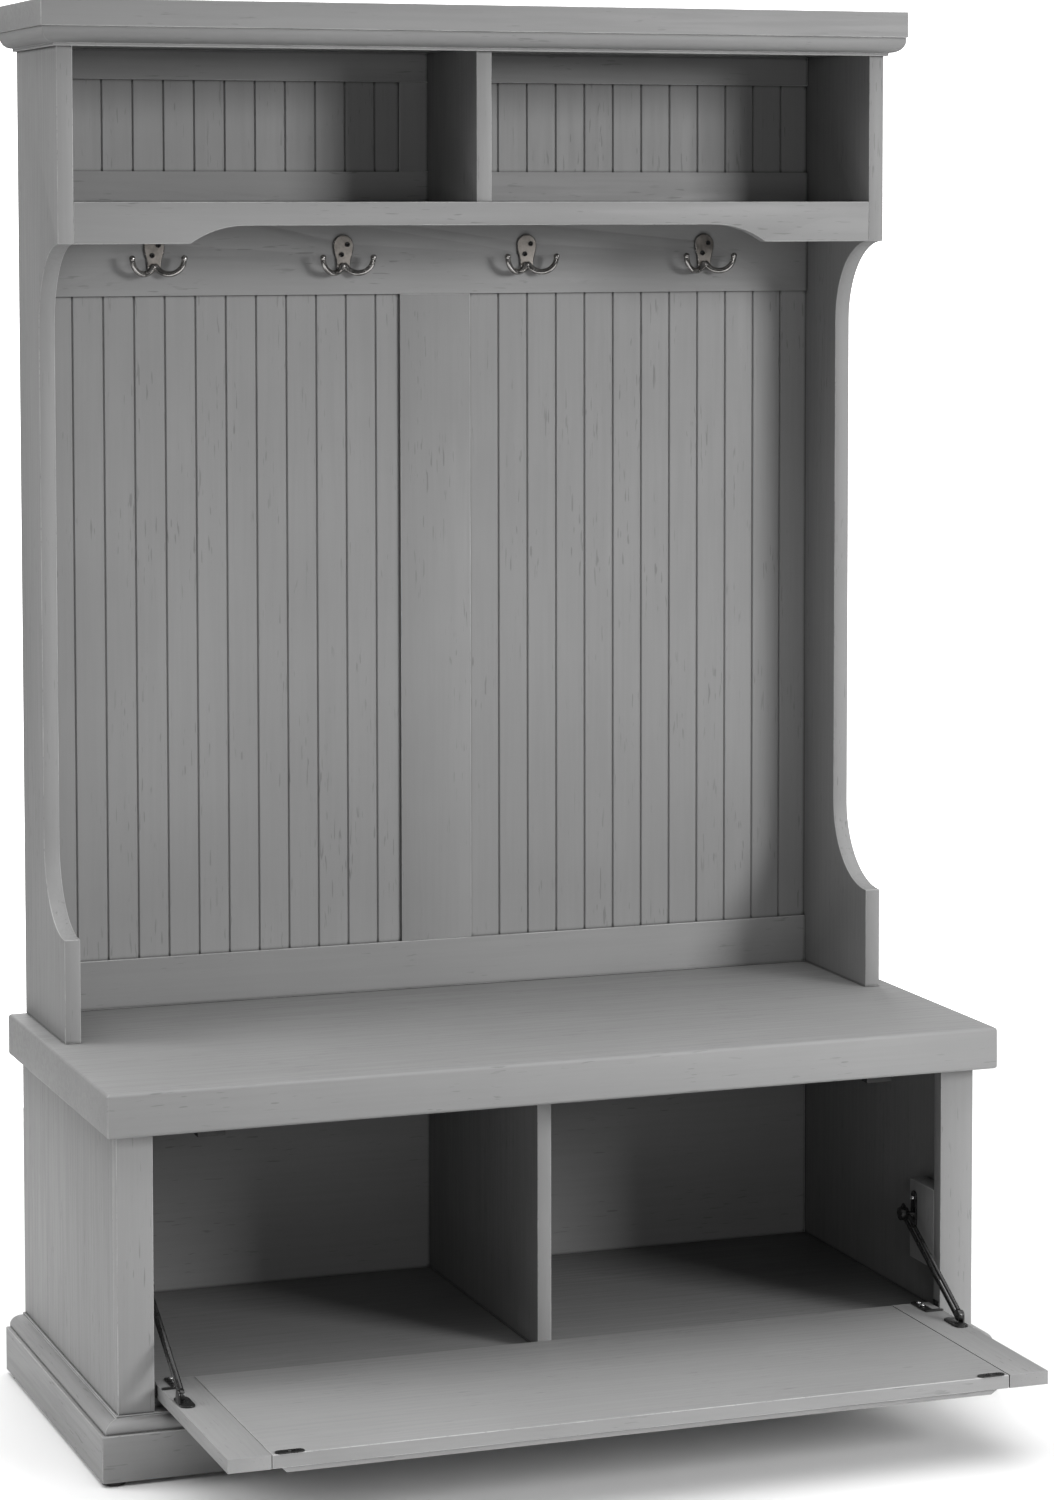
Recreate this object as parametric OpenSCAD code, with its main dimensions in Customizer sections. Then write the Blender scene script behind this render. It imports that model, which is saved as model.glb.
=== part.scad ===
// Hall tree with hooks: a bench with a drop-down flap carries a shallow hutch.
// X runs left to right, Y runs front (negative) to back, Z runs up.
// The origin is under the middle of the object's box, on the floor.

/* [Overall] */
// Height of the whole piece
total_h = 1730; // [1500:1:2000]
// Height of the seat's top face
seat_h = 462; // [380:1:520]
// Width of the bench's carcass
carcass_w = 1100; // [900:1:1400]
// Depth of the bench's carcass
carcass_d = 480; // [400:1:600]
// Width of the hutch
hutch_w = 1090; // [880:1:1390]
// Full depth of the hutch's sides
hutch_d = 212; // [180:1:300]

/* [Hutch] */
// Thickness of the side panels of hutch and bench
side_t = 20; // [16:1:26]
// Height of the crown's flat board
crown_h = 33; // [24:1:44]
// Height of the moulding under the crown board
crown_mould_h = 23; // [20:1:34]
// How far the crown board stands out from the hutch
crown_out = 24; // [23:1:40]
// Thickness of the board that closes the hutch's top
hutch_top_t = 18; // [12:1:24]
// Height of the cubby openings
cubby_h = 192; // [150:1:260]
// Thickness of the cubby shelf
shelf_t = 18; // [12:1:24]
// Thickness of the cubby divider
divider_t = 20; // [12:1:26]
// Height of the valance at its ends
valance_h = 51; // [40:1:80]
// Thickness of the valance
valance_t = 18; // [12:1:22]
// Rise of the valance's arch
arch_rise = 22; // [10:1:30]
// Distance from the middle to the foot of the arch
arch_half = 380; // [200:1:420]
// Radius of the scoops in the side panels' front edges
scoop_r = 104; // [60:1:120]
// Height of the side panels' feet above the seat
foot_h = 128; // [80:1:200]

/* [Back] */
// Thickness of the back's rails and stile
rail_t = 16; // [12:1:20]
// Thickness of the grooved boards
board_t = 6; // [5:1:8]
// Height of the top rail below the hutch's top board
top_rail_h = 38; // [20:1:60]
// Height of the hook rail
hook_rail_h = 157; // [120:1:200]
// How far the hook rail stands above the shelf
hook_rail_up = 39; // [20:1:60]
// Height of the bottom rail
bottom_rail_h = 63; // [40:1:100]
// Width of the middle stile
mid_stile_w = 96; // [60:1:140]
// Distance between the grooves
groove_pitch = 40; // [30:1:60]
// Width of a groove
groove_w = 3.6; // [2:0.1:6]
// Distance from the left side panel to the first groove of the left boards
groove_start_left = 45; // [20:1:60]
// Distance from the middle stile to the first groove of the right boards
groove_start_right = 40; // [20:1:60]

/* [Hooks] */
// Distance between two hooks
hook_pitch = 250; // [160:1:300]
// Height of a hook plate's top below the shelf's top
hook_drop = 42; // [30:1:80]
// Radius of the hook plate's round top
hook_plate_r = 13; // [10:0.5:20]
// Thickness of the hook plate
hook_plate_t = 3.5; // [2:0.1:5]
// Radius of a hook's arms
hook_arm_r = 3.9; // [2.5:0.1:5]
// Radius of a hook screw's shank
hook_screw_r = 1.6; // [1:0.1:2.5]
// Length of a hook screw's shank in the rail
hook_screw_l = 12; // [6:0.5:14]

/* [Seat] */
// Width of the seat
seat_w = 1136; // [920:1:1440]
// Depth of the seat
seat_d = 512; // [440:1:660]
// Thickness of the seat
seat_t = 52; // [30:1:70]
// Rounding of the seat's edges
seat_r = 4; // [1:0.5:10]

/* [Bench] */
// Width of the front stiles
stile_w = 44; // [30:1:70]
// Thickness of the front stiles
stile_t = 19; // [16:1:25]
// Height of the floor board's top face
floor_top = 88; // [84:1:110]
// Thickness of the floor board
floor_t = 18; // [12:1:22]
// Thickness of the bench's back
bench_back_t = 8; // [5:1:12]
// Thickness of the bench's middle divider
bench_divider_t = 18; // [12:1:24]
// How far the bench's divider stays behind the carcass front
bench_divider_in = 57; // [40:1:120]

/* [Plinth] */
// Height of the plinth boards' top
plinth_h = 60; // [45:1:64]
// How far the plinth stands out from the carcass
plinth_out = 25; // [21:1:34]
// Height of the moulding on the plinth
plinth_mould_h = 17; // [12:1:20]
// Height of the floor glides
glide_h = 5; // [3:1:10]
// Radius of the floor glides
glide_r = 14; // [10:1:20]

/* [Flap] */
// Thickness of the flap's boards
flap_t = 16; // [14:1:20]
// Gap between the flap and what is round it
flap_gap = 3.6; // [2:0.2:6]
// Width of the flap's end boards
flap_end_w = 50; // [36:1:80]
// Thickness of the raised field on the flap's outer face
field_t = 8; // [4:0.5:10]
// Border round the raised field at the flap's ends
field_side = 64; // [40:1:120]
// Height of the pivot above the floor
pivot_z = 98; // [94:1:112]
// Distance of the pivot behind the carcass front
pivot_in = 7; // [5:1:9]
// Distance of the flap's lower edge below the pivot when it is closed
pivot_edge = 18; // [12:1:18]
// Radius of the pivot pins
pin_r = 2.5; // [2:0.1:3]

/* [Stays] */
// Distance from the flap's pivot to the stay's foot
stay_foot_out = 84; // [60:1:120]
// Height of the foot's pivot above the flap
stay_foot_up = 10; // [8:1:14]
// Distance of the upper stay bracket behind the carcass front
stay_top_in = 75; // [50:1:110]
// Height of the upper stay bracket
stay_top_z = 206; // [170:1:260]
// Radius of the rods of a stay arm
stay_rod_r = 2.5; // [1.5:0.1:3]
// Width of the slot between a stay arm's rods
stay_slot_w = 6; // [4:0.5:8]
// Radius of the stays' pivot pins
stay_pin_r = 2; // [1.5:0.1:2.5]
// Depth of the block that carries a stay bracket
block_d = 70; // [50:1:100]
// Height of the block that carries a stay bracket
block_h = 100; // [60:1:140]

/* [Catches] */
// Distance from the middle to a catch
catch_x = 430; // [200:1:440]
// Width of a catch
catch_w = 34; // [24:1:46]
// Height of a catch
catch_h = 17; // [15:1:30]

/* [Hidden] */
$fn = 48;

// Colours
paint = "#7d7d7c";
pewter = "#5f5a55";
black = "#161616";
steel = "#c8c8c8";

// Small clearance between pieces that slot together
fit = 0.2;
eps = 0.01;

// Hutch heights, from the top down
hx = hutch_w / 2;
inner_hx = hx - side_t;
crown_z = total_h - crown_h;
moulding_z = crown_z - crown_mould_h;
hutch_top_z = crown_z - hutch_top_t;
shelf_z = hutch_top_z - cubby_h;
arch_z = shelf_z - valance_h;
scoop_y = -hutch_d + scoop_r;

// Back
hook_rail_z = shelf_z + hook_rail_up - hook_rail_h;
top_rail_z = hutch_top_z - top_rail_h;
bottom_rail_top = seat_h + bottom_rail_h;
board_front = -rail_t + 5;
tongue = 6;
groove_depth = tongue + fit;

// Hooks
hook_z = shelf_z - hook_drop;
hook_y = -rail_t;
hook_xs = [for (i = [0:3]) (i - 1.5) * hook_pitch];
hook_neck_r = 7.8;
hook_plate_h = 42;
hook_screw_spots = [[5, -12], [-3, -25]];

// Bench
cx = carcass_w / 2;
inner_cx = cx - side_t;
seat_bottom = seat_h - seat_t;
opening_x = cx - stile_w;
front_y = -carcass_d;
plinth_top = plinth_h + plinth_mould_h;

// Flap: lengths are measured from its pivot
pivot_y = front_y + pivot_in;
flap_under = pivot_z - pivot_in;
flap_top = flap_under + flap_t;
flap_rear = pivot_y + pivot_edge;
flap_len = seat_bottom - flap_gap - pivot_z + pivot_edge;
flap_front = flap_rear - flap_len;
flap_x = opening_x - flap_gap;
floor_front = pivot_y + 21;
door_inner_y = front_y + flap_t;

// Stays
foot_y = pivot_y - stay_foot_out;
foot_z = flap_top + stay_foot_up;
stay_top_y = front_y + stay_top_in;
stay_dy = stay_top_y - foot_y;
stay_dz = stay_top_z - foot_z;
stay_len = sqrt(pow(stay_dy, 2) + pow(stay_dz, 2));
stay_angle = atan2(stay_dz, stay_dy);
stay_face_x = opening_x;
stay_plate_t = 2;
arm_x = flap_x - 8;
arm_gap = 0.5;
ear_t = 2.5;
knob_r = 8;

// The whole box is centred on Y
back_shift = -flap_front / 2;

// ---- helpers ----

// Points of an arc from angle a0 to a1
function arc(c, r, a0, a1, n = 16) =
    [for (i = [0:n]) let (a = a0 + (a1 - a0) * i / n) [c[0] + r * cos(a), c[1] + r * sin(a)]];

// A box between two corners
module block(a, b) {
    translate(a) cube(b - a);
}

// An outline in Y and Z, extruded along X from x0
module along_x(x0, len) {
    translate([x0, 0, 0]) rotate([90, 0, 90]) linear_extrude(len) children();
}

// An outline in X and Z, extruded from y0 towards the front
module along_y(y0, len) {
    translate([0, y0, 0]) rotate([90, 0, 0]) linear_extrude(len) children();
}

// A cylinder along X between x0 and x1
module rod_x(x0, x1, y, z, r) {
    translate([min(x0, x1), y, z]) rotate([0, 90, 0]) cylinder(r = r, h = abs(x1 - x0));
}

// Puts a left-hand piece on the side that s names: -1 left, 1 right
module on_side(s) {
    if (s < 0) children();
    else mirror([1, 0, 0]) children();
}

// ---- crown ----

module crown_board() {
    color(paint)
        block([-hx - crown_out, -hutch_d - crown_out, crown_z], [hx + crown_out, 0, total_h]);
}

// Section of the crown moulding: x is the distance out from the hutch
module crown_section() {
    reach = crown_mould_h - 2;
    polygon(concat([[0, 0], [0, -crown_mould_h], [5, -crown_mould_h], [5, 4 - crown_mould_h],
        [7, 4 - crown_mould_h]], arc([7, -4], reach - 6, -90, 0), [[reach + 1, 0]]));
}

// Plan of the mitred front strip round a body half_w wide and d deep
module front_plan(half_w, d, out) {
    polygon([[-half_w, -d], [half_w, -d], [half_w + out, -d - out], [-half_w - out, -d - out]]);
}

// Plan of the mitred left strip
module left_plan(half_w, d, out) {
    polygon([[-half_w, 0], [-half_w, -d], [-half_w - out, -d - out], [-half_w - out, 0]]);
}

module front_strip(half_w, d, z, out) {
    intersection() {
        translate([0, 0, z - 60]) linear_extrude(120) front_plan(half_w, d, out);
        translate([0, -d, z]) along_x(-half_w - out, 2 * (half_w + out)) mirror([1, 0]) children();
    }
}

module left_strip(half_w, d, z, out) {
    intersection() {
        translate([0, 0, z - 60]) linear_extrude(120) left_plan(half_w, d, out);
        translate([-half_w, 0, z]) along_y(0, d + out) mirror([1, 0]) children();
    }
}

module crown_moulding_front() {
    color(paint) front_strip(hx, hutch_d, crown_z, crown_mould_h) crown_section();
}

module crown_moulding_left() {
    color(paint) left_strip(hx, hutch_d, crown_z, crown_mould_h) crown_section();
}

module crown_moulding_right() {
    mirror([1, 0, 0]) crown_moulding_left();
}

// ---- hutch ----

module hutch_top() {
    color(paint) block([-hx, -hutch_d, hutch_top_z], [hx, 0, crown_z]);
}

// Side panel with two scoops in its front edge
module hutch_side(s) {
    x0 = s < 0 ? -hx : inner_hx;
    color(paint) along_x(x0, side_t)
        polygon(concat([[0, seat_h], [-hutch_d, seat_h]],
            arc([-hutch_d, seat_h + foot_h + scoop_r], scoop_r, -90, 0, 24),
            arc([-hutch_d, arch_z - scoop_r], scoop_r, 0, 90, 24),
            [[-hutch_d, hutch_top_z], [0, hutch_top_z]]));
}

module cubby_shelf() {
    color(paint) block([-inner_hx, -hutch_d + valance_t, shelf_z - shelf_t],
        [inner_hx, -rail_t, shelf_z]);
}

// Valance with an arched lower edge
module cubby_valance() {
    arch_top = arch_z + arch_rise;
    arch_run = 70;
    arch_r = (pow(arch_run, 2) + pow(arch_rise, 2)) / (2 * arch_rise);
    sweep = asin(arch_run / arch_r);
    top_x = arch_half - arch_run;
    right_curve = arc([top_x, arch_top - arch_r], arch_r, 90, 90 - sweep);
    left_curve = [for (p = right_curve) [-p[0], p[1]]];
    n = len(left_curve);
    color(paint) along_y(-hutch_d + valance_t, valance_t)
        polygon(concat([[-inner_hx, shelf_z], [-inner_hx, arch_z]],
            [for (i = [n - 1:-1:0]) left_curve[i]], right_curve,
            [[inner_hx, arch_z], [inner_hx, shelf_z]]));
}

module cubby_divider() {
    color(paint) block([-divider_t / 2, -hutch_d + 3, shelf_z],
        [divider_t / 2, -rail_t, hutch_top_z]);
}

// ---- back ----

// A rail across the back, with a slot for the boards in the edges that face them
module back_rail(z0, z1, slot_low, slot_high) {
    slot_y = board_front - fit;
    slot_t = board_t + 2 * fit;
    difference() {
        block([-inner_hx, -rail_t, z0], [inner_hx, 0, z1]);
        if (slot_low)
            block([-inner_hx - 1, slot_y, z0 - 1], [inner_hx + 1, slot_y + slot_t, z0 + groove_depth]);
        if (slot_high)
            block([-inner_hx - 1, slot_y, z1 - groove_depth], [inner_hx + 1, slot_y + slot_t, z1 + 1]);
    }
}

module back_rail_top() {
    color(paint) back_rail(top_rail_z, hutch_top_z, true, false);
}

// The rail that carries the hooks, with a pilot hole for each screw
module back_rail_hooks() {
    color(paint) difference() {
        back_rail(hook_rail_z, hook_rail_z + hook_rail_h, true, true);
        for (x = hook_xs, p = hook_screw_spots)
            translate([x + p[0], hook_y + hook_screw_l, hook_z + p[1]])
                rotate([90, 0, 0]) cylinder(r = hook_screw_r, h = hook_screw_l + 1);
    }
}

module back_rail_bottom() {
    color(paint) back_rail(seat_h, bottom_rail_top, false, true);
}

// Middle stile, slotted on both edges; the rails pass it at their height
module mid_stile_piece(z0, z1) {
    half = mid_stile_w / 2;
    slot_y = board_front - fit;
    slot_t = board_t + 2 * fit;
    difference() {
        block([-half, -rail_t + 0.5, z0], [half, 0, z1]);
        for (s = [-1, 1])
            translate([s * (half - groove_depth / 2), slot_y + slot_t / 2, (z0 + z1) / 2])
                cube([groove_depth + eps, slot_t, z1 - z0 + 2], center = true);
    }
}

module back_mid_stile() {
    color(paint) {
        mid_stile_piece(bottom_rail_top, hook_rail_z);
        mid_stile_piece(hook_rail_z + hook_rail_h, top_rail_z);
    }
}

// Grooved boards between two heights, from x0 to x1, with the first groove's middle at first
module bead_piece(x0, x1, first, z0, z1) {
    groove_side = groove_w / sqrt(2);
    difference() {
        block([x0, board_front, z0 - tongue], [x1, board_front + board_t, z1 + tongue]);
        for (x = [first : groove_pitch : x1 - tongue - groove_w])
            translate([x, board_front, (z0 + z1) / 2]) rotate([0, 0, 45])
                cube([groove_side, groove_side, z1 - z0 + 2 * tongue + 2], center = true);
    }
}

module beadboard(s) {
    half = mid_stile_w / 2;
    x0 = s < 0 ? -inner_hx : half - tongue;
    x1 = s < 0 ? tongue - half : inner_hx;
    first = s < 0 ? groove_start_left - inner_hx : half + groove_start_right;
    color(paint) {
        bead_piece(x0, x1, first, bottom_rail_top, hook_rail_z);
        bead_piece(x0, x1, first, hook_rail_z + hook_rail_h, top_rail_z);
    }
}

// ---- hooks ----

// Half width of the hook plate at a height below its top
function plate_half(d) =
    d < hook_plate_r ? sqrt(pow(hook_plate_r, 2) - pow(hook_plate_r - d, 2))
    : hook_neck_r + (hook_plate_r - hook_neck_r)
        * (1 + cos(180 * (d - hook_plate_r) / (hook_plate_h - hook_plate_r))) / 2;

module hook_outline() {
    right = [for (i = [0:28]) let (d = hook_plate_h * i / 28) [plate_half(d), -d]];
    left = [for (i = [28:-1:1]) let (d = hook_plate_h * i / 28) [-plate_half(d), -d]];
    polygon(concat(right, left));
}

// Right-hand arm: part of a ring that swings forward, with a ball at its tip
module hook_arm() {
    ring_r = 20;
    swing = 30;
    start = 217;
    sweep = 141;
    translate([0, -4, -28.5]) rotate([0, 0, -swing]) translate([ring_r - 1, 0, 0]) rotate([90, 0, 0]) {
        rotate([0, 0, start]) rotate_extrude(angle = sweep) translate([ring_r, 0]) circle(r = hook_arm_r);
        rotate([0, 0, start + sweep]) translate([ring_r, 0, 0]) sphere(r = hook_arm_r + 0.5);
    }
}

// One cast double hook with its plate
module hook(i) {
    boss_w = 5;
    color(pewter) translate([hook_xs[i], hook_y, hook_z]) difference() {
        union() {
            rotate([90, 0, 0]) linear_extrude(hook_plate_t) hook_outline();
            for (s = [0, 1]) mirror([s, 0, 0]) hook_arm();
            block([-boss_w, -7, -46], [boss_w, 0, -40]);
        }
        for (p = hook_screw_spots)
            translate([p[0], 1, p[1]]) rotate([90, 0, 0]) cylinder(r = hook_screw_r, h = 9);
    }
}

// Two round-head screws in each hook
module hook_screws() {
    head_h = 1.4;
    color(pewter) for (x = hook_xs, p = hook_screw_spots)
        translate([x + p[0], hook_y, hook_z + p[1]]) rotate([90, 0, 0]) difference() {
            union() {
                translate([0, 0, -hook_screw_l]) cylinder(r = hook_screw_r, h = hook_screw_l + hook_plate_t);
                translate([0, 0, hook_plate_t]) cylinder(r = 2 * hook_screw_r, h = head_h);
            }
            for (a = [0, 90]) rotate([0, 0, a])
                translate([0, 0, hook_plate_t + head_h]) cube([3.6, 0.8, 1.2], center = true);
        }
}

// ---- seat and bench ----

// Slab with rounded front and side edges
module seat_slab() {
    section = concat(arc([seat_d - seat_r, seat_r], seat_r, -90, 0, 6),
        arc([seat_d - seat_r, seat_t - seat_r], seat_r, 0, 90, 6));
    color(paint) translate([0, 0, seat_bottom]) intersection() {
        along_x(-seat_w / 2, seat_w)
            mirror([1, 0]) polygon(concat([[0, 0]], section, [[0, seat_t]]));
        along_y(0, seat_d) polygon(concat(
            arc([seat_w / 2 - seat_r, seat_r], seat_r, -90, 0, 6),
            arc([seat_w / 2 - seat_r, seat_t - seat_r], seat_r, 0, 90, 6),
            arc([seat_r - seat_w / 2, seat_t - seat_r], seat_r, 90, 180, 6),
            arc([seat_r - seat_w / 2, seat_r], seat_r, 180, 270, 6)));
    }
}

// Cleats that screw the seat to the sides, behind the stay blocks
module seat_cleats() {
    color(paint) for (s = [-1, 1]) on_side(s)
        block([-inner_cx, front_y + 140, seat_bottom - 22], [22 - inner_cx, -bench_back_t - 20, seat_bottom]);
}

module bench_side(s) {
    color(paint) on_side(s)
        block([-cx, front_y + stile_t, glide_h], [-inner_cx, 0, seat_bottom]);
}

module bench_stile(s) {
    color(paint) on_side(s)
        block([-cx, front_y, glide_h], [-opening_x, front_y + stile_t, seat_bottom]);
}

module bench_front_rail() {
    color(paint) block([-opening_x, front_y, glide_h], [opening_x, front_y + stile_t, plinth_top]);
}

module bench_back() {
    color(paint) block([-inner_cx, -bench_back_t, glide_h], [inner_cx, 0, seat_bottom]);
}

module bench_floor() {
    color(paint) block([-inner_cx, floor_front, floor_top - floor_t], [inner_cx, -bench_back_t, floor_top]);
}

module bench_divider() {
    color(paint) block([-bench_divider_t / 2, front_y + bench_divider_in, floor_top],
        [bench_divider_t / 2, -bench_back_t, seat_bottom]);
}

// ---- plinth ----

module plinth_board() {
    translate([0, 0, glide_h]) linear_extrude(plinth_h - glide_h) children();
}

module plinth_front() {
    color(paint) plinth_board() front_plan(cx, carcass_d, plinth_out);
}

module plinth_left() {
    color(paint) plinth_board() left_plan(cx, carcass_d, plinth_out);
}

module plinth_right() {
    mirror([1, 0, 0]) plinth_left();
}

// Section of the plinth moulding, with its lower edge at 0
module plinth_section() {
    wide = plinth_out - 5;
    h = plinth_mould_h;
    polygon(concat([[0, 0], [wide, 0], [wide, 3]],
        [for (i = [1:11]) let (a = 90 * i / 12) [5 + (wide - 5) * cos(a), 3 + (h - 6) * sin(a)]],
        [[5, h - 3], [3, h - 3], [3, h], [0, h]]));
}

module plinth_moulding_front() {
    color(paint) front_strip(cx, carcass_d, plinth_h, plinth_out) plinth_section();
}

module plinth_moulding_left() {
    color(paint) left_strip(cx, carcass_d, plinth_h, plinth_out) plinth_section();
}

module plinth_moulding_right() {
    mirror([1, 0, 0]) plinth_moulding_left();
}

module floor_glides() {
    inset = 8;
    color(black) for (x = [-1, 1], y = [front_y - inset, -2 * glide_r])
        translate([x * (cx + inset), y, 0]) cylinder(r = glide_r, h = glide_h);
}

// ---- fixed hardware ----

// Block that fills the space between the side and the stile's inner edge
module stay_block(s) {
    back_y = front_y + stile_t + block_d;
    color(paint) on_side(s)
        block([-inner_cx, front_y + stile_t, stay_top_z + 44 - block_h],
            [-stay_face_x, back_y, stay_top_z + 44]);
}

// Plate on the block with a screw above and a stub that faces the arm
module stay_bracket(s) {
    face = -stay_face_x;
    color(black) on_side(s) {
        block([face, stay_top_y - 7, stay_top_z - 10], [face + stay_plate_t, stay_top_y + 7, stay_top_z + 24]);
        rod_x(face, face + stay_plate_t, stay_top_y, stay_top_z + 24, 7);
        rod_x(face, face + stay_plate_t, stay_top_y, stay_top_z - 10, 7);
        rod_x(face + stay_plate_t, face + stay_plate_t + 1, stay_top_y, stay_top_z + 22, 4);
        rod_x(face + stay_plate_t, -arm_x - stay_rod_r - arm_gap, stay_top_y, stay_top_z, 5);
    }
}

// Cabinet half of a flap hinge: a plate on the stile's inner edge and a pin
module hinge_cup(s) {
    pin_in = 14;
    color(black) on_side(s) {
        block([-opening_x, front_y + 1, pivot_z - 12], [1.6 - opening_x, pivot_y + 12, pivot_z + 14]);
        rod_x(-opening_x, -flap_x + pin_in, pivot_y, pivot_z, pin_r);
    }
}

// Magnetic catches under the seat
module door_catches() {
    y0 = door_inner_y + 2.5;
    color(black) for (s = [-1, 1])
        block([s * catch_x - catch_w / 2, y0, seat_bottom - catch_h],
            [s * catch_x + catch_w / 2, y0 + 16, seat_bottom]);
}

// ---- flap, drawn open ----

module flap_panel() {
    joint = 1;
    x = flap_x - flap_end_w - joint;
    color(paint) block([-x, flap_front, flap_under], [x, flap_rear, flap_top]);
}

// End board with the bore for its pivot pin
module flap_end(s) {
    bore_deep = 15;
    color(paint) on_side(s) difference() {
        block([-flap_x, flap_front, flap_under], [flap_end_w - flap_x, flap_rear, flap_top]);
        rod_x(-flap_x - 1, bore_deep - flap_x, pivot_y, pivot_z, pin_r + 0.05);
    }
}

// Raised field with bevelled ends on the outer face
module flap_field() {
    x = flap_x - field_side;
    y0 = flap_front + 5;
    y1 = flap_rear - 42;
    bevel = field_t - 2;
    color(paint) intersection() {
        along_y(y1, y1 - y0) polygon([[-x, flap_under], [x, flap_under], [x, flap_under - 2],
            [x - bevel, flap_under - field_t], [bevel - x, flap_under - field_t], [-x, flap_under - 2]]);
        along_x(-x, 2 * x) polygon([[y0, flap_under], [y1, flap_under], [y1, flap_under - 2],
            [y1 - bevel, flap_under - field_t], [y0 + bevel / 2, flap_under - field_t], [y0, flap_under - 2]]);
    }
}

// Flap half of a hinge: a black leaf with two screws, and its bright link to the pivot side
module hinge_leaf(s) {
    leaf_w = 11;
    leaf_l = 44;
    leaf_t = 2.2;
    x0 = -flap_x + 14;
    color(black) on_side(s) {
        block([x0, flap_rear - leaf_l, flap_top], [x0 + leaf_w, flap_rear - 1, flap_top + leaf_t]);
        for (d = [12, 24])
            translate([x0 + leaf_w / 2, flap_rear - d, flap_top + leaf_t]) cylinder(r = 3, h = 1.2);
        block([-flap_x + 0.5, flap_rear - leaf_l, flap_top], [x0, flap_rear - leaf_l + 4, flap_top + leaf_t]);
    }
}

// Oval plate on the flap, with an ear and pin for the arm
module stay_foot(s) {
    plate_l = 26;
    plate_half_w = 9;
    plate_t = 2;
    ear_x1 = -arm_x - stay_rod_r - arm_gap;
    ear_x0 = ear_x1 - ear_t;
    px = ear_x0 + plate_half_w;
    color(black) on_side(s) {
        translate([px, foot_y + plate_l / 2, flap_top]) cylinder(r = plate_half_w, h = plate_t);
        translate([px, foot_y - plate_l / 2, flap_top]) cylinder(r = plate_half_w, h = plate_t);
        block([px - plate_half_w, foot_y - plate_l / 2, flap_top],
            [px + plate_half_w, foot_y + plate_l / 2, flap_top + plate_t]);
        block([ear_x0, foot_y - 6, flap_top], [ear_x1, foot_y + 6, foot_z]);
        rod_x(ear_x0, ear_x1, foot_y, foot_z, 6);
        rod_x(ear_x0, stay_rod_r + 1 - arm_x, foot_y, foot_z, stay_pin_r);
    }
}

// Steel plates on the flap that meet the catches when it is closed
module strike_plates() {
    strike_y = flap_rear - (seat_bottom - catch_h / 2 - (pivot_z - pivot_edge));
    strike_t = 1.2;
    color(black) for (s = [-1, 1]) difference() {
        union() {
            for (e = [-1, 1])
                translate([s * catch_x + e * (catch_w / 2 - 6), strike_y, flap_top]) cylinder(r = 6, h = strike_t);
            block([s * catch_x - catch_w / 2 + 6, strike_y - 6, flap_top],
                [s * catch_x + catch_w / 2 - 6, strike_y + 6, flap_top + strike_t]);
        }
        translate([s * catch_x, strike_y, flap_top + strike_t]) cylinder(r = 2, h = 1, center = true);
    }
}

// ---- stay arms ----

// Slotted arm: two rods joined at both ends, with an eye at the foot and a knob at the top
module stay_arm(s) {
    half = stay_slot_w / 2 + stay_rod_r;
    tail = 14;
    color(black) on_side(s) translate([-arm_x, foot_y, foot_z]) rotate([stay_angle, 0, 0]) {
        difference() {
            rod_x(-stay_rod_r, stay_rod_r, 0, 0, half + 1.5);
            rod_x(-9, 9, 0, 0, stay_pin_r + 0.05);
        }
        for (e = [-1, 1])
            translate([0, 3, e * half]) rotate([-90, 0, 0]) cylinder(r = stay_rod_r, h = stay_len + tail - 3);
        block([-stay_rod_r, stay_len + tail - 4, -half], [stay_rod_r, stay_len + tail, half]);
        rod_x(-stay_rod_r, stay_rod_r + 5, stay_len + 4, 0, knob_r);
    }
}

// ---- placing ----

module place() {
    translate([0, back_shift, 0]) children();
}

place() crown_board();
place() crown_moulding_front();
place() crown_moulding_left();
place() crown_moulding_right();
place() hutch_top();
place() hutch_side(-1);  // hutch_side_left
place() hutch_side(1);  // hutch_side_right
place() cubby_shelf();
place() cubby_valance();
place() cubby_divider();
place() back_rail_top();
place() back_rail_hooks();
place() back_rail_bottom();
place() back_mid_stile();
place() beadboard(-1);  // beadboard_left
place() beadboard(1);  // beadboard_right
place() hook(0);  // hook_1
place() hook(1);  // hook_2
place() hook(2);  // hook_3
place() hook(3);  // hook_4
place() hook_screws();
place() seat_slab();
place() seat_cleats();
place() bench_side(-1);  // bench_side_left
place() bench_side(1);  // bench_side_right
place() bench_stile(-1);  // bench_stile_left
place() bench_stile(1);  // bench_stile_right
place() bench_front_rail();
place() bench_back();
place() bench_floor();
place() bench_divider();
place() plinth_front();
place() plinth_left();
place() plinth_right();
place() plinth_moulding_front();
place() plinth_moulding_left();
place() plinth_moulding_right();
place() floor_glides();
place() stay_block(-1);  // stay_block_left
place() stay_block(1);  // stay_block_right
place() stay_bracket(-1);  // stay_bracket_left
place() stay_bracket(1);  // stay_bracket_right
place() hinge_cup(-1);  // hinge_cup_left
place() hinge_cup(1);  // hinge_cup_right
place() door_catches();
place() flap_panel();
place() flap_end(-1);  // flap_end_left
place() flap_end(1);  // flap_end_right
place() flap_field();
place() hinge_leaf(-1);  // hinge_leaf_left
place() hinge_leaf(1);  // hinge_leaf_right
place() stay_foot(-1);  // stay_foot_left
place() stay_foot(1);  // stay_foot_right
place() strike_plates();
place() stay_arm(-1);  // stay_arm_left
place() stay_arm(1);  // stay_arm_right
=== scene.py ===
import math

import bmesh
import bpy
from mathutils import Matrix, Vector


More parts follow.
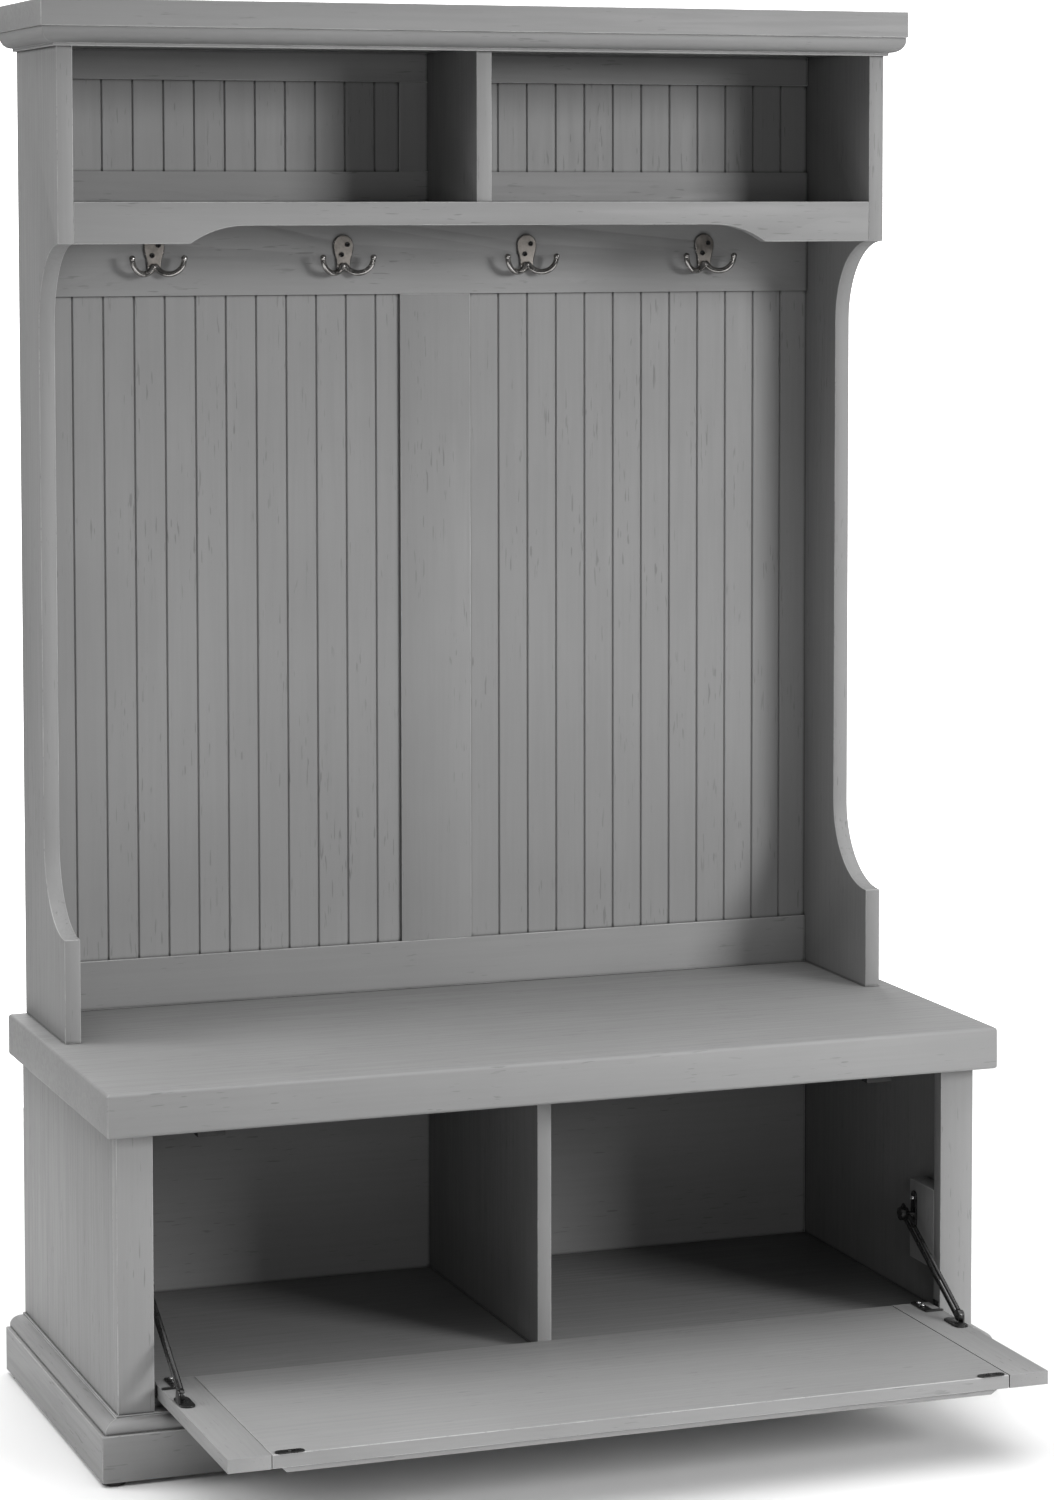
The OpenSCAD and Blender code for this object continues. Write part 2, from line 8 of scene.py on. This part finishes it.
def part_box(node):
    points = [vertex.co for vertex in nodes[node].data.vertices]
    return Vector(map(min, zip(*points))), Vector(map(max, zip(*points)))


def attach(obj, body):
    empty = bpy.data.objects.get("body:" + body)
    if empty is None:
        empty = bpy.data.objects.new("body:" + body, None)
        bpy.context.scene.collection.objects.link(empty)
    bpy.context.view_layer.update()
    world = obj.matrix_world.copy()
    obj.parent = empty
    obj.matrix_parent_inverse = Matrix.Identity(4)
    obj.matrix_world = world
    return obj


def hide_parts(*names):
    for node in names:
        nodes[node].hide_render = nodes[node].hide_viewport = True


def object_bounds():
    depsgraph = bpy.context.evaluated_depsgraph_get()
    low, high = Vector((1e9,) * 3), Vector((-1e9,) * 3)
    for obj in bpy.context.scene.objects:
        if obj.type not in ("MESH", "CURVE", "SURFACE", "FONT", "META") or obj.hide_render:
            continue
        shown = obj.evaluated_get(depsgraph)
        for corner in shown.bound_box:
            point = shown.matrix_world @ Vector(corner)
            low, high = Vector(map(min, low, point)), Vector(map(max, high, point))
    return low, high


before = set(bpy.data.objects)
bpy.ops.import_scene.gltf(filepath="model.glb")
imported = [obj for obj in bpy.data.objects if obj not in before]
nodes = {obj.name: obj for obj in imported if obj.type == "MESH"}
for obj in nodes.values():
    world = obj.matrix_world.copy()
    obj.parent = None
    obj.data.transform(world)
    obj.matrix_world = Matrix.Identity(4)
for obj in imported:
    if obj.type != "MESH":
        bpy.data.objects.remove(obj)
cad_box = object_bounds()
BACK_Y = cad_box[1].y


# ---------------------------------------------------------------- node helpers

class Net:
    """A small builder for one material's node tree."""

    def __init__(self, name):
        self.mat = bpy.data.materials.new(name)
        self.mat.use_nodes = True
        self.tree = self.mat.node_tree
        self.tree.nodes.clear()
        self.out = self.add("ShaderNodeOutputMaterial")
        self.bsdf = self.add("ShaderNodeBsdfPrincipled")
        self.link(self.bsdf.outputs["BSDF"], self.out.inputs["Surface"])

    def add(self, kind, **settings):
        node = self.tree.nodes.new(kind)
        for key, value in settings.items():
            setattr(node, key, value)
        return node

    def link(self, a, b):
        self.tree.links.new(a, b)

    def put(self, socket, value):
        if isinstance(value, bpy.types.NodeSocket):
            self.link(value, socket)
        else:
            socket.default_value = value

    def place(self):
        """The row frame's metres, moved by a different amount on each piece."""
        tc = self.add("ShaderNodeTexCoord")
        info = self.add("ShaderNodeObjectInfo")
        shift = self.add("ShaderNodeVectorMath", operation="SCALE")
        shift.inputs[0].default_value = (7.3, 4.1, 9.7)
        self.link(info.outputs["Random"], shift.inputs["Scale"])
        moved = self.add("ShaderNodeVectorMath", operation="ADD")
        self.link(tc.outputs["Object"], moved.inputs[0])
        self.link(shift.outputs[0], moved.inputs[1])
        return moved.outputs[0]

    def stretch(self, vector, scale):
        mapping = self.add("ShaderNodeMapping")
        mapping.inputs["Scale"].default_value = scale
        self.link(vector, mapping.inputs["Vector"])
        return mapping.outputs["Vector"]

    def noise(self, vector, scale, detail=4.0, rough=0.55, distort=0.0):
        n = self.add("ShaderNodeTexNoise")
        n.inputs["Scale"].default_value = scale
        n.inputs["Detail"].default_value = detail
        n.inputs["Roughness"].default_value = rough
        n.inputs["Distortion"].default_value = distort
        self.link(vector, n.inputs["Vector"])
        return n.outputs["Fac"]

    def span(self, value, a, b, c=0.0, d=1.0):
        """Maps a..b to c..d, clamped."""
        m = self.add("ShaderNodeMapRange")
        m.interpolation_type = "SMOOTHSTEP"
        for name, v in (("From Min", a), ("From Max", b), ("To Min", c), ("To Max", d)):
            m.inputs[name].default_value = v
        self.link(value, m.inputs["Value"])
        return m.outputs["Result"]

    def math(self, op, a, b=0.0):
        m = self.add("ShaderNodeMath", operation=op)
        self.put(m.inputs[0], a)
        self.put(m.inputs[1], b)
        return m.outputs["Value"]

    def mix(self, fac, a, b, blend="MIX"):
        m = self.add("ShaderNodeMix", data_type="RGBA", blend_type=blend)
        self.put(m.inputs[0], fac)
        self.put(m.inputs[6], a)
        self.put(m.inputs[7], b)
        return m.outputs[2]

    def bump(self, height, strength, distance):
        b = self.add("ShaderNodeBump")
        b.inputs["Strength"].default_value = strength
        b.inputs["Distance"].default_value = distance
        self.link(height, b.inputs["Height"])
        return b.outputs["Normal"]


def grey(v, warm=0.0):
    return (v * (1 + warm), v, v * (1 - warm), 1.0)


# ---------------------------------------------------------------- materials

TONE = 0.262
# painted shade: the tone for the compartment's inner faces, darker to stand in for the shade inside it
SHADED_INSIDE_TONE = TONE * 0.8
# how far from a corner the painted shade reaches, in metres
CORNER_SHADE_REACH = 0.006
# how strongly the painted corner shade darkens the paint
CORNER_SHADE_SHARE = 0.85


def painted_wood(name, grain, tone):
    """Grey satin paint brushed along open-grained wood. grain is the boards' axis: 0 X, 1 Y, 2 Z."""
    net = Net(name)
    place = net.place()

    def along(share):
        """Coordinates drawn out along the grain by 1 / share."""
        scale = [1.0, 1.0, 1.0]
        scale[grain] = share
        return net.stretch(place, tuple(scale))

    streak = net.span(net.noise(along(0.035), 160, 5, 0.62), 0.36, 0.66)
    band = net.span(net.noise(along(0.06), 26, 4, 0.55), 0.34, 0.68)
    cloud = net.span(net.noise(place, 4.5, 4, 0.5), 0.3, 0.7)
    tick = net.span(net.noise(along(0.10), 360, 1, 0.4), 0.665, 0.71)
    patch = net.span(net.noise(along(0.35), 21, 3, 0.6), 0.46, 0.62)
    pore = net.math("MULTIPLY", tick, patch)
    info = net.add("ShaderNodeObjectInfo")
    board = net.span(info.outputs["Random"], 0, 1)

    colour = net.mix(cloud, grey(tone * 0.955), grey(tone * 1.035))
    colour = net.mix(net.math("MULTIPLY", board, 0.25), colour, grey(tone * 1.08))
    colour = net.mix(net.math("MULTIPLY", band, 0.16), colour, grey(tone * 0.88))
    colour = net.mix(net.math("MULTIPLY", streak, 0.13), colour, grey(tone * 0.80))
    colour = net.mix(net.math("MULTIPLY", pore, 0.36), colour, grey(tone * 0.30))
    # painted shade: an ambient occlusion node darkens the paint in corners and along joints
    occlusion = net.add("ShaderNodeAmbientOcclusion", samples=6)
    occlusion.inputs["Distance"].default_value = CORNER_SHADE_REACH
    # painted shade mask: strongest where the occlusion is deepest
    corner = net.span(occlusion.outputs["AO"], 0.80, 0.42)
    colour = net.mix(net.math("MULTIPLY", corner, CORNER_SHADE_SHARE), colour, grey(tone * 0.14))
    net.link(colour, net.bsdf.inputs["Base Color"])
    net.link(net.span(streak, 0, 1, 0.52, 0.64), net.bsdf.inputs["Roughness"])
    height = net.math("SUBTRACT", net.math("MULTIPLY", streak, 0.25), pore)
    net.link(net.bump(height, 0.14, 0.0004), net.bsdf.inputs["Normal"])
    net.bsdf.inputs["Specular IOR Level"].default_value = 0.3
    return net.mat


def worn_highlight_edge(name, tone):
    """Paint rubbed thin along an eased edge and lightened there as a painted highlight, with a few gaps in
    the rubbing.
    """
    net = Net(name)
    place = net.place()
    rub_and_highlight = net.span(net.noise(place, 14, 5, 0.65), 0.34, 0.66)
    fleck = net.span(net.noise(place, 260, 3, 0.6), 0.56, 0.68)
    # wear and painted highlight: the rubbed edge is lightened up to half again the paint's tone
    colour = net.mix(rub_and_highlight, grey(tone * 1.06), grey(tone * 1.55))
    colour = net.mix(net.math("MULTIPLY", fleck, 0.45), colour, grey(tone * 0.55))
    net.link(colour, net.bsdf.inputs["Base Color"])
    net.link(net.span(rub_and_highlight, 0, 1, 0.42, 0.34), net.bsdf.inputs["Roughness"])
    net.link(net.bump(fleck, 0.2, 0.0003), net.bsdf.inputs["Normal"])
    return net.mat


def metal(name, value, rough, warm=0.0, metallic=1.0, scale=900.0, spread=0.18, bump=0.12):
    """Metal or hard plastic with fine cast texture and uneven sheen."""
    net = Net(name)
    place = net.place()
    speck = net.noise(place, scale, 3, 0.6)
    blotch = net.span(net.noise(place, scale / 9, 4, 0.65), 0.32, 0.68)
    colour = net.mix(blotch, grey(value * (1 - spread), warm), grey(value * (1 + spread), warm))
    net.link(colour, net.bsdf.inputs["Base Color"])
    net.bsdf.inputs["Metallic"].default_value = metallic
    net.link(net.span(blotch, 0, 1, rough * 0.8, rough * 1.25), net.bsdf.inputs["Roughness"])
    net.link(net.bump(speck, bump, 0.0002), net.bsdf.inputs["Normal"])
    return net.mat


AXES = "xyz"
wood = [painted_wood("paint_" + AXES[a], a, TONE) for a in range(3)]
# the painted shade for the compartment's inner faces
inside_shade = [painted_wood("painted_shade_inside_" + AXES[a], a, SHADED_INSIDE_TONE) for a in range(3)]
edge_wear_and_highlight = worn_highlight_edge("worn_highlight_edge", TONE)
pewter = metal("pewter", 0.24, 0.45, warm=0.08, metallic=0.75, spread=0.22, bump=0.3)
arm_metal = metal("dark_nickel", 0.36, 0.22, warm=0.03, spread=0.3, bump=0.05)
black = metal("black_metal", 0.012, 0.30, metallic=0.0, spread=0.3, bump=0.06)
steel = metal("bright_steel", 0.62, 0.22, spread=0.1, bump=0.05)
plastic = metal("black_plastic", 0.012, 0.55, metallic=0.0, scale=1500.0, spread=0.3)


# ---------------------------------------------------------------- CAD nodes

ACROSS = ("crown_board", "crown_moulding_front", "hutch_top", "cubby_shelf", "cubby_valance",
          "back_rail_top", "back_rail_hooks", "back_rail_bottom", "seat_slab",
          "bench_front_rail", "bench_back", "bench_floor", "plinth_front",
          "plinth_moulding_front", "flap_panel", "flap_field")
ALONG_DEPTH = ("crown_moulding_left", "crown_moulding_right", "plinth_left", "plinth_right",
               "plinth_moulding_left", "plinth_moulding_right", "flap_end_left",
               "flap_end_right", "seat_cleats")
HARD_STARTS = ("hook_", "stay_arm", "stay_foot", "stay_bracket", "hinge", "strike")
# widths of the eased edges, in metres
EASE = 0.0009
EASES = {"seat_slab": 0.0015, "crown_board": 0.0012, "beadboard_left": 0.0, "beadboard_right": 0.0}
METAL_EASE = 0.0004
PLASTIC_EASE = 0.0006
MERGE = 0.00001
# places in a wooden piece's list of materials
# the third place holds the painted shade of the compartment's inner faces
FACE, RUBBED_HIGHLIGHT, SHADE_COAT = 0, 1, 2


def tidy_mesh(ob, ease):
    """Modifiers that weld a CAD node, join its flat triangles and ease its edges. Returns the bevel, or
    None when there is no easing.
    """
    weld = ob.modifiers.new("weld", "WELD")
    weld.merge_threshold = MERGE
    flat = ob.modifiers.new("flat", "DECIMATE")
    flat.decimate_type = "DISSOLVE"
    flat.angle_limit = math.radians(1)
    flat.delimit = {"MATERIAL"}
    if not ease:
        return None
    bevel = ob.modifiers.new("ease", "BEVEL")
    bevel.width = ease
    bevel.segments = 2
    bevel.limit_method = "ANGLE"
    bevel.angle_limit = math.radians(32)
    bevel.harden_normals = True
    return bevel


def dress_wood(node, axis):
    """Paints a wooden node. Its eased edges, where it has them, show the rubbed paint with a painted
    highlight.
    """
    ob = nodes[node]
    ob.data.materials.clear()
    for mat in (wood[axis], edge_wear_and_highlight, inside_shade[axis]):
        ob.data.materials.append(mat)
    bevel = tidy_mesh(ob, EASES.get(node, EASE))
    if bevel:
        # the eased edges get the rubbed paint with its painted highlight
        bevel.material = RUBBED_HIGHLIGHT
    for poly in ob.data.polygons:
        poly.material_index = FACE
        poly.use_smooth = bool(bevel)


def dress_hard(node, mat, ease):
    """Gives a metal or plastic node its one material."""
    ob = nodes[node]
    ob.data.materials.clear()
    ob.data.materials.append(mat)
    tidy_mesh(ob, ease)
    for poly in ob.data.polygons:
        poly.material_index = 0
        poly.use_smooth = True


for name in nodes:
    if name in ACROSS:
        dress_wood(name, 0)
    elif name in ALONG_DEPTH:
        dress_wood(name, 1)
    elif name == "hook_screws":
        dress_hard(name, black, 0.0)
    elif name in ("door_catches", "floor_glides"):
        dress_hard(name, plastic, PLASTIC_EASE)
    elif name.startswith(HARD_STARTS):
        dress_hard(name, black, METAL_EASE)
    else:
        dress_wood(name, 2)

# painted shade: the compartment's inner faces get darker paint in place of the shade inside it. Listed
# here by which way they face
SHADED_INNER_FACES = {
    "bench_side_left": ((1, 0, 0),),
    "bench_side_right": ((-1, 0, 0),),
    "bench_back": ((0, -1, 0),),
    "bench_floor": ((0, 0, 1),),
    "bench_divider": ((1, 0, 0), (-1, 0, 0)),
}
NEARLY_FACING = 0.9
for name, ways in SHADED_INNER_FACES.items():
    for poly in nodes[name].data.polygons:
        if any(poly.normal.dot(Vector(way)) > NEARLY_FACING for way in ways):
            poly.material_index = SHADE_COAT


# ---------------------------------------------------------------- hooks

def add_object(name, bm, mat, smooth=True):
    """Turns bm into an object with one material."""
    mesh = bpy.data.meshes.new(name)
    bm.to_mesh(mesh)
    bm.free()
    mesh.materials.append(mat)
    for poly in mesh.polygons:
        poly.use_smooth = smooth
    ob = bpy.data.objects.new(name, mesh)
    bpy.context.scene.collection.objects.link(ob)
    return ob


# a direction that no hook arm runs along, to square each ring against
SIDEWAYS = Vector((0.3, 1, 0.2))


def circle(radius, sides, k):
    """Point k of a circle with that many sides."""
    turn = 2 * math.pi * k / sides
    return radius * math.cos(turn), radius * math.sin(turn)


def bridge(bm, rings):
    """Faces between each ring of points and the next."""
    for r, s in zip(rings, rings[1:]):
        for k in range(len(r)):
            j = (k + 1) % len(r)
            bm.faces.new((r[k], r[j], s[j], s[k]))


def tube(bm, points, radii, sides=20):
    """A closed round tube through the points."""
    rings = []
    count = len(points)
    for i, p in enumerate(points):
        a = points[max(i - 1, 0)]
        b = points[min(i + 1, count - 1)]
        t = (b - a).normalized()
        u = t.cross(SIDEWAYS).normalized()
        v = t.cross(u)
        flat = [circle(radii[i], sides, k) for k in range(sides)]
        rings.append([bm.verts.new(p + across * u + up * v) for across, up in flat])
    bridge(bm, rings)
    bm.faces.new(list(reversed(rings[0])))
    bm.faces.new(rings[-1])


def ball(bm, place, radius, squash=(1, 1, 1)):
    """A sphere, or with squash an ellipsoid, round place."""
    made = bmesh.ops.create_uvsphere(bm, u_segments=24, v_segments=14, radius=radius)
    for v in made["verts"]:
        v.co = Vector([v.co[i] * squash[i] for i in range(3)]) + place


# every length below is in metres, from the plate's top middle on the rail's face
PLATE_R, NECK_R, PLATE_H, PLATE_T = 0.0135, 0.0092, 0.0425, 0.0034
PLATE_EASE = 0.0014
WAIST_AT = 1.18
ARM_R, RING_R = 0.0039, 0.020
# each arm is a stretch of a ring, swung forward, that starts behind the plate and ends at the tip
SWING = math.radians(30)
RING_Z, ARM_Y = -0.0285, -0.0042
ARC_START, ARC_SWEEP = 212, 146
BOSS_R, BOSS_PLACE, BOSS_SQUASH = 0.0062, Vector((0, -0.0030, -0.0405)), (1.0, 0.55, 0.62)
VOXEL = 0.00042


def plate_half(d):
    """Half the plate's width at d below its top: a round head that draws in to a neck."""
    if d < PLATE_R:
        return math.sqrt(max(PLATE_R ** 2 - (PLATE_R - d) ** 2, 0))
    turn = (d - PLATE_R) / (PLATE_H - PLATE_R)
    return NECK_R + (PLATE_R - NECK_R) * (1 + math.cos(math.pi * min(turn * WAIST_AT, 1))) / 2


def plate_ring(bm, inset, y):
    """One outline of the hook plate at depth y, drawn in by inset."""
    steps = 40
    right = []
    for i in range(steps + 1):
        d = PLATE_H * (1 - math.cos(math.pi * i / steps)) / 2
        half = max(plate_half(d) - inset, 0.0002 if i == 0 else 0.0006)
        z = -min(max(d, inset), PLATE_H - inset)
        right.append((half, z))
    points = right + [(-x, z) for x, z in reversed(right)]
    return [bm.verts.new((x, y, z)) for x, z in points]


def arm_path():
    """The right arm's middle line and its radii, which taper to the tip."""
    points, radii = [], []
    steps = 26
    for i in range(steps + 1):
        t = math.radians(ARC_START + ARC_SWEEP * i / steps)
        reach = RING_R - 0.001 + RING_R * math.cos(t)
        x = reach * math.cos(SWING)
        y = ARM_Y - reach * math.sin(SWING)
        points.append(Vector((x, y, RING_Z + RING_R * math.sin(t))))
        radii.append(ARM_R * (1.05 - 0.16 * (i / steps)))
    return points, radii


def hook_mesh():
    """One cast double hook: plate, two arms with ball tips and the boss that they meet in."""
    bm = bmesh.new()
    rings = [
        plate_ring(bm, 0.0, 0.0),
        plate_ring(bm, 0.0, -PLATE_T + 0.0012),
        plate_ring(bm, 0.0005, -PLATE_T + 0.0003),
        plate_ring(bm, PLATE_EASE, -PLATE_T),
    ]
    bridge(bm, rings)
    bm.faces.new(rings[0])
    bm.faces.new(list(reversed(rings[-1])))
    points, radii = arm_path()
    for side in (1, -1):
        path = [Vector((side * p.x, p.y, p.z)) for p in points]
        tube(bm, path, radii)
        ball(bm, path[-1] + Vector((0, 0, 0.0006)), radii[-1] * 1.18)
        ball(bm, path[0], ARM_R)
    ball(bm, BOSS_PLACE, BOSS_R, BOSS_SQUASH)
    bmesh.ops.recalc_face_normals(bm, faces=bm.faces)
    mesh = bpy.data.meshes.new("hook_cast")
    bm.to_mesh(mesh)
    bm.free()
    ob = bpy.data.objects.new("hook_cast", mesh)
    bpy.context.scene.collection.objects.link(ob)
    remesh = ob.modifiers.new("cast", "REMESH")
    remesh.mode = "VOXEL"
    remesh.voxel_size = VOXEL
    soft = ob.modifiers.new("soft", "SMOOTH")
    soft.factor = 0.5
    soft.iterations = 5
    thin = ob.modifiers.new("thin", "DECIMATE")
    thin.ratio = 0.35
    worked_out = ob.evaluated_get(bpy.context.evaluated_depsgraph_get())
    done = bpy.data.meshes.new_from_object(worked_out)
    bpy.data.objects.remove(ob)
    # the flat of the plate is brushed pewter, the cast arms are darker and glossier
    done.materials.clear()
    done.materials.append(pewter)
    done.materials.append(arm_metal)
    for poly in done.polygons:
        poly.use_smooth = True
        c = poly.center
        on_face = c.y > -PLATE_T - 0.0004 and c.z > -0.0400
        on_plate = on_face and abs(c.x) < plate_half(-c.z) - 0.0010
        poly.material_index = 0 if on_plate else 1
    return done


cast = hook_mesh()
for i in range(1, 5):
    low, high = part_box(f"hook_{i}")
    hook = bpy.data.objects.new(f"coat_hook_{i}", cast)
    bpy.context.scene.collection.objects.link(hook)
    hook.location = ((low.x + high.x) / 2, high.y, high.z)
    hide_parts(f"hook_{i}")
    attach(hook, "cabinet")


# ---------------------------------------------------------------- small bright hardware

# a dome's outline, as shares of its radius: how far out and how far up
DOME = ((1.0, 0.0), (1.0, 0.18), (0.93, 0.34), (0.72, 0.50), (0.45, 0.58))


def star(bm, waist, reach, up, sides):
    """A ring with four arms, the mouth or the floor of a cross recess."""
    ring = []
    for k in range(sides):
        arm = abs(math.cos(4 * math.pi * k / sides)) ** 3
        x, y = circle(waist + reach * arm, sides, k)
        ring.append(bm.verts.new((x, y, up)))
    return ring


def screw_head(name, place, axis, radius, body, mat):
    """A domed cross-head screw that stands on place and points along axis."""
    bm = bmesh.new()
    sides = 24
    rings = []
    for share, up in DOME:
        flat = [circle(share * radius, sides, k) for k in range(sides)]
        rings.append([bm.verts.new((x, y, up * radius)) for x, y in flat])
    rings.append(star(bm, 0.16 * radius, 0.36 * radius, 0.57 * radius, sides))
    rings.append(star(bm, 0.12 * radius, 0.34 * radius, 0.30 * radius, sides))
    bridge(bm, rings)
    bm.faces.new(rings[-1])
    ob = add_object(name, bm, mat)
    turn = Vector(axis).to_track_quat("Z", "Y").to_matrix().to_4x4()
    ob.matrix_world = Matrix.Translation(place) @ turn
    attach(ob, body)


BRACKET_SCREW_R, LEAF_SCREW_R, STRIKE_SCREW_R = 0.0036, 0.0028, 0.0024
BRACKET_T, BRACKET_SCREW_DROP = 0.003, 0.009
LEAF_SCREW_IN, LEAF_SCREWS_BACK = 0.0190, (0.011, 0.023)
STRIKE_X, STRIKE_SINK = 0.430, 0.0004
UP = (0, 0, 1)
strike_low, strike_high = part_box("strike_plates")

for side, sign in (("left", -1), ("right", 1)):
    low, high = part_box(f"stay_bracket_{side}")
    outer = high.x if sign > 0 else low.x
    place = Vector((outer - sign * BRACKET_T, (low.y + high.y) / 2, high.z - BRACKET_SCREW_DROP))
    screw_head(f"bracket_screw_{side}", place, (-sign, 0, 0), BRACKET_SCREW_R, "cabinet", steel)
    low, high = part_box(f"hinge_leaf_{side}")
    outer = high.x if sign > 0 else low.x
    for k, back in enumerate(LEAF_SCREWS_BACK):
        place = Vector((outer - sign * LEAF_SCREW_IN, high.y - back, high.z))
        screw_head(f"leaf_screw_{side}_{k}", place, UP, LEAF_SCREW_R, "flap", steel)
    strike_y = (strike_low.y + strike_high.y) / 2
    place = Vector((sign * STRIKE_X, strike_y, strike_high.z - STRIKE_SINK))
    screw_head(f"strike_screw_{side}", place, UP, STRIKE_SCREW_R, "flap", black)


# ---------------------------------------------------------------- stage

# half the side of the floor: small enough that little light comes off it, since past it all is white
FLOOR_HALF = 1.9


def stage_floor():
    """A plain pale floor."""
    bm = bmesh.new()
    bmesh.ops.create_grid(bm, x_segments=1, y_segments=1, size=FLOOR_HALF)
    net = Net("floor_white")
    net.bsdf.inputs["Base Color"].default_value = grey(0.85)
    net.bsdf.inputs["Roughness"].default_value = 0.9
    add_object("floor", bm, net.mat, smooth=False)


def area_light(name, place, target, size, power):
    """A soft box that size gives as width and height, at place and turned to target."""
    data = bpy.data.lights.new(name, "AREA")
    data.shape = "RECTANGLE"
    data.size, data.size_y = size
    data.energy = power
    ob = bpy.data.objects.new(name, data)
    bpy.context.scene.collection.objects.link(ob)
    ob.location = place
    ob.rotation_euler = (Vector(target) - Vector(place)).to_track_quat("-Z", "Y").to_euler()
    ob.visible_camera = False


# the tent's glow from its sides and from its roof, and the plain white seen behind the object
SIDE_GLOW, ROOF_GLOW, BACKDROP = 0.09, 2.7, 3.0
# where the roof begins and is whole, as the upward share of a direction
ROOF_FROM, ROOF_WHOLE = 0.62, 0.95


def tent_world():
    """An overhead white tent: bright above, dim at the sides, plain white where the camera sees it."""
    world = bpy.data.worlds.new("studio")
    world.use_nodes = True
    tree = world.node_tree
    tent = tree.nodes["Background"]
    tent.inputs["Color"].default_value = (1, 1, 1, 1)
    coords = tree.nodes.new("ShaderNodeTexCoord")
    split = tree.nodes.new("ShaderNodeSeparateXYZ")
    tree.links.new(coords.outputs["Generated"], split.inputs[0])
    glow = tree.nodes.new("ShaderNodeMapRange")
    glow.interpolation_type = "SMOOTHSTEP"
    glow.inputs["From Min"].default_value = ROOF_FROM
    glow.inputs["From Max"].default_value = ROOF_WHOLE
    glow.inputs["To Min"].default_value = SIDE_GLOW
    glow.inputs["To Max"].default_value = ROOF_GLOW
    tree.links.new(split.outputs["Z"], glow.inputs["Value"])
    tree.links.new(glow.outputs["Result"], tent.inputs["Strength"])
    backdrop = tree.nodes.new("ShaderNodeBackground")
    backdrop.inputs["Strength"].default_value = BACKDROP
    rays = tree.nodes.new("ShaderNodeLightPath")
    choose = tree.nodes.new("ShaderNodeMixShader")
    tree.links.new(rays.outputs["Is Camera Ray"], choose.inputs[0])
    tree.links.new(tent.outputs[0], choose.inputs[1])
    tree.links.new(backdrop.outputs[0], choose.inputs[2])
    tree.links.new(choose.outputs[0], tree.nodes["World Output"].inputs["Surface"])
    return world


stage_floor()
area_light("key", (3.85, -5.05, 2.75), (0.0, 0, 1.0), (2.0, 2.1), 320)
area_light("front_fill", (-1.0, -5.6, 1.3), (0.0, 0, 0.9), (1.4, 1.4), 32)
area_light("left_fill", (-3.4, 1.15, 2.5), (-0.5, 0.2, 1.5), (1.6, 1.8), 60)
area_light("back", (0.6, 4.2, 2.4), (0, 0.3, 0.9), (2.6, 2.6), 60)
bpy.context.scene.world = tent_world()
bpy.context.scene.view_settings.view_transform = "Standard"


# ---------------------------------------------------------------- camera

# metres from the middle of the object's back on the floor, and degrees
CAMERA_PLACE = Vector((-1.6910, -5.0331, 1.4749))
CAMERA_TURN = (85.96, 0.076, -19.913)

camera = bpy.data.cameras.new("camera")
camera.sensor_fit = "VERTICAL"
camera.sensor_height = 36.0
camera.lens = 98.03
camera.shift_y = -0.1667
camera_ob = bpy.data.objects.new("camera", camera)
bpy.context.scene.collection.objects.link(camera_ob)
camera_ob.location = CAMERA_PLACE + Vector((0, BACK_Y, 0))
camera_ob.rotation_euler = [math.radians(turn) for turn in CAMERA_TURN]
bpy.context.scene.camera = camera_ob
